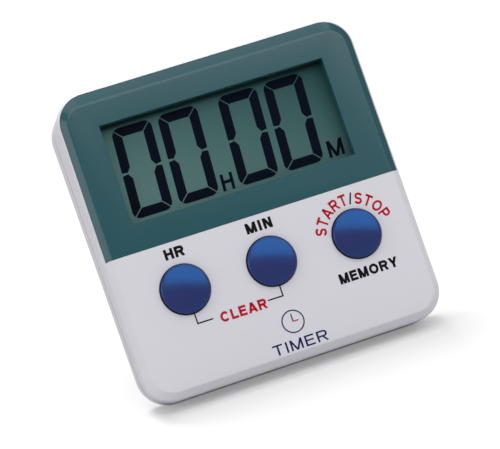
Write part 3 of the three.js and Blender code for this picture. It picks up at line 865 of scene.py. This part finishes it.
def printed(name, outlines, ink, depth=0.0, slot="pale_shell"):
    """Ink or lit segments: flat outlines standing a hair off the surface at a depth."""
    in_row(prism(name, outlines, depth), ink, slot, smooth=20)


def legends():
    left, middle, right = key_centres()
    for name, text, height, x, z, width, weight, spacing, ink in (
            ("hour_legend", "HR", 2.35, -19.15, -2.4, 4.4, 0.255, 0.14, INK_BLACK),
            ("minute_legend", "MIN", 2.35, 0.22, -2.4, 5.95, 0.255, 0.2, INK_BLACK),
            ("clear_legend", "CLEAR", 2.25, -8.92, -18.75, 10.5, 0.235, 0.14, INK_RED),
            ("memory_legend", "MEMORY", 2.25, 19.92, -18.97, 13.55, 0.25, 0.14, INK_BLACK),
            ("maker_word", "TIMER", 2.35, 0.5, -29.2, 12.4, 0.15, 0.22, INK_NAVY)):
        printed(name, word(text, height, x, z, width, weight, spacing), ink)
    around = word_round("START/STOP", 2.55, right, KEY_Z, 7.8, 160, 18)
    slash = sum(len(glyph(letter, ARC_WEIGHT)[1]) for letter in "START")
    printed("start_stop_legend", around[:slash] + around[slash + 1:], INK_RED)
    printed("start_stop_stroke", [around[slash]], INK_BLACK)
    ties = [ribbon([(x, TIE_Z[0]), (x, TIE_Z[1]), (end, TIE_Z[1])], 0.15)
            for x, end in ((left + 0.2, -15.7), (middle - 0.1, -3.2))]
    printed("clear_tie_lines", ties, INK_BLACK)
    x, z = CLOCK_AT
    dial = [ribbon(arc(x, z, CLOCK_R, CLOCK_R, a, a + 180, 24), 0.14) for a in (0, 180)]
    printed("clock_mark", [*dial, ribbon([(x, z), (x, z + 1.7)], 0.13)], INK_NAVY)
    printed("clock_mark_hand", [ribbon([(x - 0.08, z), (x + 1.25, z)], 0.13)], INK_RED)


def display_print():
    """What the display shows: four noughts, an H and an M."""
    for name, outlines in (
            ("display_digits", [shape for x in DIGIT_X for shape in zero_outlines(x)]),
            ("hour_letter", word("H", 3.75, -2.46, 9.1, 2.75, 0.2, lean=SLANT)),
            ("minute_letter", word("M", 3.75, 22.8, 9.1, 3.6, 0.19, lean=SLANT))):
        printed(name, outlines, DIGIT, DISPLAY_Y, "display_film")


# ---------- rear shell ----------
def floor_cutter():
    """All that lies under the floor the timer stands on."""
    block = box_cutter(across(100), across(100), (-FAR, 0))
    block.data.transform(TO_ROW.inverted() @ Matrix.Scale(MM, 4))
    return block


def soft_box(x, y, z, r):
    """A block whose corners, seen from the back, are rounded by r."""
    px, pz = rounded(*x, *z, [r] * 4, 6)
    ends = [d(pz) if callable(d) else np.full_like(px, d) for d in y]
    return lofted("cutter", [np.stack([px, depth, pz], axis=1) for depth in ends])


def bay_block(depth):
    """The battery bay's outside between two depths."""
    return box_cutter(across(BAY_X + BAY_WALL), depth, grown(BAY_Z, BAY_WALL))


def seam_tongue():
    """The lip inside the seam that finds the front shell."""
    slip = WALL + GAP
    steps = [(slip, -1.5), (slip, GAP), (WALL - 0.2, GAP + 0.1), (WALL - 0.2, 2.4)]
    lip = lofted("cutter", [case_ring(inset, past_seam(depth)) for inset, depth in steps])
    inside = lofted("cutter", [case_ring(slip + 0.8, past_seam(depth)) for depth in (-3, 4)])
    return carve(lip, [inside] + [bar(x, z, 2.55, (0, seam(z) + 0.3), 32) for x, z in CASE_SCREWS])


def shell_hollow():
    """The space inside the rear shell, around the stand's tray, the battery bay and the door's ledge."""
    space = lofted("cutter", [
        case_ring(WALL, past_seam(-1)),
        case_ring(WALL, below_back(WALL + 0.8)),
        case_ring(WALL + 0.8, below_back(WALL))])
    return carve(space, [
        box_cutter(across(STAND_X + 1.8), (below_back(3.6), FAR), (-FAR, 11)),
        box_cutter(across(STAND_X + 3.2), (below_back(4.9), FAR), (8.6, 14.9)),
        bay_block((BAY_FLOOR - BAY_WALL, FAR)),
        box_cutter(across(DOOR_X + 1.2), (below_back(DOOR_THICK + 1.4), FAR), (14.6, 33))])


def pin_bore(half):
    """A hole for the stand's pin, drawn about the pin's own axis."""
    return crosswise(bar(0, 0, STAND_BORE, across(half), 40))


def stand_recess():
    wide = across(STAND_X + 0.4)
    return [soft_box(wide, (below_back(2.4), FAR), (-29.2, 11), 1.2),
            box_cutter(wide, (below_back(3.6), FAR), (9.9, 13.9)),
            soft_box(across(7), (below_back(1.8), FAR), (-30.8, -28.2), 1.0),
            moved(pin_bore(20.9), 0, back(STAND_Z) - STAND_INSET, STAND_Z)]


def door_recess():
    z0, z1 = DOOR_Z
    seat = (below_back(DOOR_THICK + GAP), FAR)
    slots = [box_cutter((x, x + 7), (below_back(2.1), below_back(0.45)), (z1 - 1, z1 + 1.4))
             for x in (-18, 11)]
    return [box_cutter(across(DOOR_X + GAP), seat, grown(DOOR_Z, GAP)),
            box_cutter(across(5), seat, (z0 - 1.7, z0 + 1)), *slots]


def sound_holes():
    turn = np.arange(6) * pi / 3
    places = [(0, BUZZER_Z)] + list(zip(3.6 * np.cos(turn), BUZZER_Z + 3.6 * np.sin(turn)))
    return [bar(x, z, 0.75, (9, 30), 32) for x, z in places]


def rear_shell():
    """The case outline from the seam to the sloping back, round its back edge, hollowed and fitted
    for the stand, the battery, its door, the screws, the magnets and the buzzer."""
    turn = np.linspace(0, pi / 2, 10)
    rings = [case_ring(SEAM_GROOVE, past_seam(GAP))]
    rings += [case_ring(inset, past_seam(SEAM_LIP)) for inset in (SEAM_GROOVE, 0)]
    rings += [case_ring(BACK_BEVEL * (1 - cos(t)), below_back(BACK_BEVEL * (1 - sin(t)))) for t in turn]
    shell = lofted("rear_shell", rings)
    carve(shell, [shell_hollow()])
    joined = [bay_block((BAY_FLOOR - BAY_WALL, below_back(1.5))), seam_tongue()]
    cut = []
    for x, z in CASE_SCREWS:
        joined.append(bar(x, z, 2.9, (seam(z) + 0.3, back(z) - 1.2), 40))
        cut += [bar(x, z, 1.3, (0, 30), 40), bar(x, z, 2.45, (back(z) - 2.6, 30), 40)]
    for x in MAGNETS.values():
        joined.append(on_back(bar(0, 0, 5.6, (-3.4, -1), 64), x, MAGNET_Z))
        cut.append(on_back(bar(0, 0, 4.65, (-2.3, 2), 80), x, MAGNET_Z))
    carve(shell, joined, "UNION")
    bay = soft_box(across(BAY_X), (BAY_FLOOR, 30), BAY_Z, 0.6)
    clips = [box_cutter(x, (9, 10.2), (21, 25)) for x in ((BAY_X - 1, BAY_X + 2), (-BAY_X - 2, 1 - BAY_X))]
    carve(shell, [*cut, *stand_recess(), *door_recess(), bay, *clips, *sound_holes(), floor_cutter()])
    in_row(shell, SHELL, "pale_shell", "rear_cover", soften=0.14)


def bay_marks():
    """Raised plus and minus signs on the bay's floor, beside their contacts."""
    strokes = [((18, 20.2), (21, 20.2)), ((19.5, 18.7), (19.5, 21.7)), ((-21, 20.2), (-18, 20.2))]
    marks = prism("bay_polarity_marks", [ribbon(ends, 0.22) for ends in strokes], BAY_FLOOR + 0.3, 0.3)
    in_row(marks, SHELL, "pale_shell", soften=0.05)


# ---------- stand ----------
def stand_leaf():
    """A tapered leaf with a round knuckle, drawn hanging from its pin with a ribbed panel sunk in
    its rear face, then swung open and trimmed level with the floor."""
    inner, outer, r = -0.3, STAND_INSET - 0.2, STAND_CORNER
    left = arc(-STAND_X + 2 + r, STAND_FOOT + r, r, r, 180, 270, 12)
    right = arc(STAND_X - 2 - r, STAND_FOOT + r, r, r, 270, 360, 12)
    flat = np.vstack([[(STAND_X, 0), (-STAND_X, 0)], left, right])
    leaf = lofted("stand_leaf", [np.insert(flat, 1, y, axis=1) for y in (inner, outer)])
    carve(leaf, [crosswise(bar(0, 0, STAND_KNUCKLE_R, across(STAND_X), 48))], "UNION")
    panel = soft_box(across(12.5), (outer - 0.45, 10), (-33, -7), 2.0)
    carve(leaf, [pin_bore(STAND_X + 1), panel])
    ridges = [soft_box(across(9), (outer - 0.6, outer - 0.15), (z, z + 0.8), 0.39)
              for z in (-30.5, -28.5, -26.5)]
    carve(leaf, ridges, "UNION")
    moved(leaf, 0, back(STAND_Z) - STAND_INSET, STAND_Z, radians(STAND_OPEN) - BACK_TILT)
    carve(leaf, [floor_cutter()])
    in_row(leaf, SHELL, "pale_shell", "stand", soften=0.22, segments=3, body="stand")


def stand_pin():
    r = STAND_PIN_R
    ends = [(0, -20.6), (r - 0.15, -20.6), (r, -20.4), (r, 20.4), (r - 0.15, 20.6), (0, 20.6)]
    pin = crosswise(turned("stand_steel_pin", ends, count=40), 0, back(STAND_Z) - STAND_INSET, STAND_Z)
    in_row(pin, STEEL, "bare_metal", "stand_pin")


# ---------- battery and its door ----------
def battery_door():
    """A plate that follows the back's slope, with two tongues above, a latch below, three grip
    grooves and a raised arrow that shows the way it pulls."""
    z0, z1 = DOOR_Z
    plate = box_cutter(across(DOOR_X), (below_back(DOOR_THICK), back), DOOR_Z)
    plate.name = "battery_door_plate"
    latch = box_cutter(across(4.6), (below_back(1.2), below_back(0.3)), (z0 - 1.3, z0 + 1))
    tongues = [box_cutter((x, x + 6), (below_back(1.3), below_back(0.6)), (z1 - 1, z1 + 0.9))
               for x in (-17.5, 11.5)]
    carve(plate, [*tongues, latch], "UNION")
    grooves = z0 + 2 + 1.5 * np.arange(3)
    carve(plate, [box_cutter(across(9), (below_back(0.35), FAR), (z, z + 0.7)) for z in grooves])
    in_row(plate, SHELL, "pale_shell", "battery_door", soften=0.16, segments=3, body="battery_door")
    arrow = np.array([(-1.6, 25.2), (1.6, 25.2), (0, 23.0)])
    tips = [np.insert(arrow, 1, back(arrow[:, 1]) + out, axis=1) for out in (-0.2, 0.12)]
    in_row(lofted("door_arrow", tips), DARK, "black_frame", body="battery_door")


def battery():
    """A cell in a printed sleeve with a plain copper-coloured band: crimped can, recessed neck, nub."""
    h, r = BATTERY_HALF, BATTERY_R - 0.12
    can = [(0, -h), (r - 1.2, -h), (r - 0.9, -h + 0.25), (r - 0.35, -h + 0.3), (r, -h + 0.7),
           (r, h - 2.0), (r - 0.25, h - 1.5), (r - 0.9, h - 1.15), (2.3, h - 1.1), (2.0, h - 1.0),
           (1.9, h - 0.15), (1.7, h), (0, h)]
    pieces = [(turned("battery_can", can, count=80), STEEL, "bare_metal")]
    for name, low, high, material in (("battery_sleeve", -h + 0.7, h - 13.5, CELL_BODY),
                                      ("battery_band_sleeve", h - 13.5, h - 1.9, CELL_BAND)):
        loop = [(r - 0.05, low), (r + 0.07, low), (r + 0.12, low + 0.06), (r + 0.12, high - 0.06),
                (r + 0.07, high), (r - 0.05, high)]
        pieces.append((hoop(name, loop), material, "battery_label"))
    for piece, material, slot in pieces:
        in_row(crosswise(piece, *BATTERY_AT), material, slot, "battery")


def battery_spring():
    """A conical coil, widest on its contact."""
    share = np.linspace(0, 1, 170)
    angle = 2 * pi * SPRING_TURNS * share
    r = 3.3 - 1.2 * share
    path = np.stack([1.1 * share - 23.4, r * np.cos(angle), r * np.sin(angle)], axis=1)
    coil = swept("battery_coil_spring", path + [0, *BATTERY_AT[1:]], 0.2, (1, 0, 0), 10)
    in_row(coil, STEEL, "spring_steel", "battery_spring")


# ---------- screws, magnets, wires ----------
def screw(name, x, z, y, head_r, head_h, shaft_r, length):
    """A pan head with a cross recess over a thread that runs to a blunt point."""
    turn = np.linspace(0, pi / 2, 7)
    head = [(head_r * sin(t), y - head_h * (1 - cos(t)) * 0.8) for t in turn]
    crests = np.arange(y - head_h - 0.5, y - length + 0.9, -THREAD_PITCH)
    depths = np.stack([crests, crests - THREAD_PITCH / 2], axis=1).ravel()
    thread = [(shaft_r - 0.17 * (i % 2), depth) for i, depth in enumerate(depths)]
    tail = [(shaft_r * 0.55, y - length + 0.25), (0, y - length)]
    made = turned(name, head + [(head_r, y - head_h), (shaft_r, y - head_h)] + thread + tail, x, z, 36)
    arms = [box_cutter((x - a, x + a), (y - 0.7, y + 1), (z - b, z + b))
            for a, b in ((0.22, 1.15), (1.15, 0.22))]
    in_row(carve(made, arms), STEEL, "screw_steel", name.replace("_steel", ""))


def screws():
    for i, (x, z) in enumerate(CASE_SCREWS, 1):
        head = back(z) - 1.15
        screw(f"case_screw_steel_{i}", x, z, head, 2.15, 1.25, 0.95, head - 5.2)
    for i, (x, z) in enumerate(BOARD_SCREWS, 1):
        screw(f"board_screw_steel_{i}", x, z, BOARD_BACK + 1.5, 1.75, 1.2, 0.8, 5.2)


def magnets():
    face = [(0, -2.15), (4.3, -2.15), (4.5, -1.95), (4.5, -0.3), (4.3, -0.1), (0, -0.1)]
    for side, x in MAGNETS.items():
        disc = on_back(turned(f"{side}_magnet_disc", face, count=80), x, MAGNET_Z)
        in_row(disc, MAGNET, "magnet_plate", f"{side}_magnet")


WIRES = {
    "buzzer_lead_red": [(3, 10.8, -3), (6, 10.4, -6), (7, 9.8, -8), (8, 8.7, -9)],
    "buzzer_lead_black": [(-8, 10.9, -5), (-8.4, 10.5, -3), (-9, 9.8, -1), (-9, 8.7, 1)],
    "battery_lead_red": [(26.5, 9.6, 21.2), (27, 9.6, 18), (26.4, 9.3, 10), (26, 8.7, 3)],
    "battery_lead_black": [(-26.5, 9.6, 21.2), (-27, 9.6, 18), (-26.4, 9.3, 10), (-26, 8.7, 3)],
}


def wires():
    """Insulated leads, eased round their bends."""
    for name, points in WIRES.items():
        lead = swept(f"{name}_insulated", eased(points), 0.45, (0.3, 1, 0.1))
        red = "red" in name
        in_row(lead, RED_WIRE if red else BLACK_WIRE, "red_insulation" if red else "black_insulation", name)


# ---------- circuit board ----------
def solder_dabs(places, r=0.75, height=0.45, count=20):
    """Low round mounds on the back of the board, each a cosine in section, as one mesh."""
    turn = np.linspace(pi / 2, 0, 6)[:-1]
    around = np.arange(count) * 2 * pi / count
    rings = np.stack([
        np.outer(r * np.sin(turn), np.cos(around)),
        np.repeat((BOARD_BACK + height * np.cos(turn))[:, None], count, axis=1),
        np.outer(r * np.sin(turn), np.sin(around))], axis=-1).reshape(-1, 3)
    faces = quads(len(turn), count).tolist()
    faces += [list(range(count))[::-1], list(range(len(rings) - count, len(rings)))]
    shift = np.insert(np.asarray(places, dtype=float), 1, 0, axis=1)
    verts = (rings[None] + shift[:, None]).reshape(-1, 3)
    all_faces = [[v + len(rings) * k for v in face] for k in range(len(places)) for face in faces]
    in_row(faced_out(new_piece("board_solder", verts, all_faces)), SOLDER, "bare_metal", smooth=50)


def board_tracks():
    """Runs of covered copper from the chip to the parts, with a 45 degree jog in each, and the
    solder at their ends."""
    rows, columns = [], []
    for i, z in enumerate(np.linspace(-20.5, -4.5, 11)):
        jog = (z + 12.5) * 0.45
        bend = -7.5 + abs(jog) * 0.2
        rows.append([(-9.6, -12.5 + jog), (bend, -12.5 + jog), (bend + abs(z + 12.5 - jog), z),
                     (18 + 0.8 * (i % 3), z)])
    for i, x in enumerate(np.linspace(-27.5, -19.5, 6)):
        columns.append([(x, 2.5), (x, -4 - i), (x + 1.5, -5.5 - i), (-17.6, -9.8 - 0.8 * i)])
    outlines = [ribbon(path, 0.22) for path in rows + columns]
    in_row(prism("board_copper_runs", outlines, BOARD_BACK + 0.03, 0.03), TRACK, "board_laminate")
    ends = [path[-1] for path in rows] + [path[0] for path in columns]
    ends += [(8, -9), (-9, 1), (26, 3), (-26, 3), (3.4, -17), (8.6, -17), (-4.2, -17.8), (-1.8, -17.8)]
    solder_dabs(ends)


def key_pads():
    """Carbon combs on the front of the board, one under each key's rubber dome."""
    levels = np.linspace(-1.8, 1.8, 7)
    teeth = [[(a, z), (a + 3.7, z)] for z, a in zip(levels, (-2.2, -1.5) * 4)]
    teeth += [[(a, -2.2), (a, 2.2)] for a in (-2.4, 2.4)]
    for name, x in zip(KEYS, key_centres()):
        outlines = [ribbon(np.array(tooth) + [x, KEY_Z], 0.2) for tooth in teeth]
        in_row(prism(f"{name}_contact_comb", outlines, BOARD_DEPTH, 0.04), CARBON, "conductive_rubber")


def key_domes():
    """Rubber springs under the keys, thin at the web between the plunger and the flange, each
    given its own copy of its mesh."""
    profile = [(0, 4.5), (2.3, 4.5), (2.55, 4.62), (2.75, 4.95), (3.5, 5.5), (4.1, 5.9), (4.6, 6.0),
               (6.3, 6.0), (6.4, 6.1), (6.4, 6.8), (3.9, 6.8), (3.0, 6.2), (2.2, 5.75), (1.9, 5.7), (0, 5.7)]
    for name, x in zip(KEYS, key_centres()):
        dome = turned(f"{name}_rubber_spring", profile, x, KEY_Z, 64)
        in_row(dome, RUBBER, "dome_rubber", f"{name}_dome")
        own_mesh(dome)


def board_parts():
    """A blob of black potting over the chip, a crystal in its can and a sleeved capacitor."""
    top = BOARD_BACK + GAP
    turn = np.linspace(0, pi / 2, 14)
    dome = np.stack([4.6 * np.sin(turn), top + 1.5 * np.cos(turn)], axis=1)
    blob = turned("chip_blob", np.vstack([dome, [(0, top)]]), -14, -12, 64)
    in_row(blob, POTTING, "chip_ceramic", "chip_potting")
    can = [(0, -3), (0.85, -3), (1, -2.8), (1, 2.5), (0.95, 2.7), (0.95, 3), (0, 3)]
    crystal = crosswise(turned("crystal_can", can, count=48), 6, top + 1.1, -17)
    in_row(crystal, STEEL, "bare_metal", "quartz_crystal")
    sleeve = [(0, -2.5), (1.7, -2.5), (2, -2.3), (2, 1.2), (1.86, 1.4), (1.86, 1.6), (2, 1.8), (2, 2.3),
              (1.7, 2.5), (1.5, 2.42), (0, 2.42)]
    cap = moved(turned("capacitor_sleeved", sleeve, count=48), 23.6, top + 2.1, -16, pi / 2)
    in_row(cap, SLEEVE, "capacitor_sleeve", "smoothing_capacitor")


# ---------- stage ----------
def camera():
    """Looks at the face from its left and a little below, rolled so the timer tips to the left."""
    out = sqrt(1 - VIEW_SIDE ** 2 - VIEW_BELOW ** 2)
    back = Vector((VIEW_SIDE, -out, VIEW_BELOW))
    right = Vector((0, 0, 1)).cross(back).normalized()
    up = back.cross(right)
    rolled_right = cos(ROLL) * right + sin(ROLL) * up
    rolled_up = cos(ROLL) * up - sin(ROLL) * right
    place = back * DISTANCE - AIM[0] * rolled_right - AIM[1] * rolled_up
    turn = Matrix((rolled_right, rolled_up, back)).transposed()
    data = bpy.data.cameras.new("camera")
    data.lens = LENS
    data.sensor_width = 36
    data.clip_start = 0.01
    made = bpy.data.objects.new("camera", data)
    bpy.context.scene.collection.objects.link(made)
    made.matrix_world = Matrix.Translation(TO_ROW @ place) @ (TURN.to_3x3() @ turn).to_4x4()
    bpy.context.scene.camera = made


def soft_light(name, side, degrees, wide, high, radiance, roll):
    """A rectangular soft box this many degrees up from the front horizon, with some of X added to
    its direction, facing the timer and rolled on its stand, as bright as radiance times a white
    sheet in full light."""
    data = bpy.data.lights.new(name, "AREA")
    data.shape = "RECTANGLE"
    data.size = wide
    data.size_y = high
    data.energy = radiance * wide * high * pi
    lamp = bpy.data.objects.new(name, data)
    way = Vector((side, -cos(radians(degrees)), sin(radians(degrees)))).normalized()
    lamp.location = way * BOX_AWAY + Vector(BOX_AIM)
    lamp.rotation_mode = "QUATERNION"
    lamp.rotation_quaternion = way.to_track_quat("Z", "Y") @ Quaternion((0, 0, 1), roll)
    bpy.context.scene.collection.objects.link(lamp)


def floor_material():
    """Pale paper over a faint glow that whitens far away, lighter in what it throws back at the
    timer than it looks and darker in what the glossy pieces mirror."""
    made = finish_material("pale_floor", FLOOR_TONE, 0.9, shift=0.004, specular=0.1, specks=0.0)
    tree = made.node_tree
    shader = tree.nodes["Principled BSDF"]
    grain = shader.inputs["Base Color"].links[0].from_socket
    rays = tree.nodes.new("ShaderNodeLightPath").outputs
    thrown_back = mix(tree, rays["Is Glossy Ray"], FLOOR_BOUNCE, FLOOR_MIRRORED)
    tree.links.new(mix(tree, rays["Is Camera Ray"], thrown_back, grain), shader.inputs["Base Color"])
    distance = tree.nodes.new("ShaderNodeVectorMath")
    distance.operation = "LENGTH"
    from_object(tree, distance)
    far = math_node(tree, "SUBTRACT", distance.outputs["Value"], FLOOR_NEAR)
    far.node.use_clamp = True
    whitened = math_node(tree, "ADD", far, FLOOR_GLOW)
    glow = math_node(tree, "MULTIPLY", rays["Is Camera Ray"], whitened)
    set_inputs(tree, shader, {"Emission Color": (1, 1, 1, 1), "Emission Strength": glow})
    return made


def studio():
    """A white room with a pale floor and four soft boxes: above the camera, overhead, at the left,
    and behind the timer, from where its shadow is thrown forward."""
    world = bpy.data.worlds.new("white_room")
    world.use_nodes = True
    tree = world.node_tree
    rays = tree.nodes.new("ShaderNodeLightPath")
    strength = scaled(tree, rays.outputs["Is Camera Ray"], SKY, 1.0)
    set_inputs(tree, tree.nodes["Background"], {"Color": (1, 1, 1, 1), "Strength": strength})
    bpy.context.scene.world = world
    for name, box in BOXES.items():
        soft_light(name, *box)
    corners = [(-1, -1, 0), (1, -1, 0), (1, 1, 0), (-1, 1, 0)]
    floor = new_piece("floor", np.array(corners) * FLOOR_REACH, [(0, 1, 2, 3)])
    paint(floor, floor_material())
    view = bpy.context.scene.view_settings
    view.view_transform = "Standard"
    view.look = "None"


CAD_FINISH = {
    "front_polariser": FILM, "lcd_front_glass": GLASS, "lcd_rear_glass": GLASS, "lcd_reflector": FOIL,
    "lcd_frame": DARK, "zebra_connector": ZEBRA, "circuit_board": LAMINATE, "chip_capacitor_1": CERAMIC,
    "chip_capacitor_2": CERAMIC, "hour_dome": RUBBER, "minute_dome": RUBBER, "start_stop_dome": RUBBER,
    "piezo_plate": BRASS, "piezo_ceramic": CERAMIC, "positive_contact": STEEL, "negative_contact": STEEL,
}

camera()
studio()
front_housing()
display_bezel()
for key, centre in zip(KEYS, key_centres()):
    key_cap(key, centre)
display_print()
legends()
rear_shell()
bay_marks()
stand_leaf()
stand_pin()
battery_door()
battery()
battery_spring()
screws()
magnets()
wires()
board_tracks()
key_pads()
key_domes()
board_parts()
for node_name, node in NODES.items():
    paint(node, CAD_FINISH.get(node_name, SHELL))
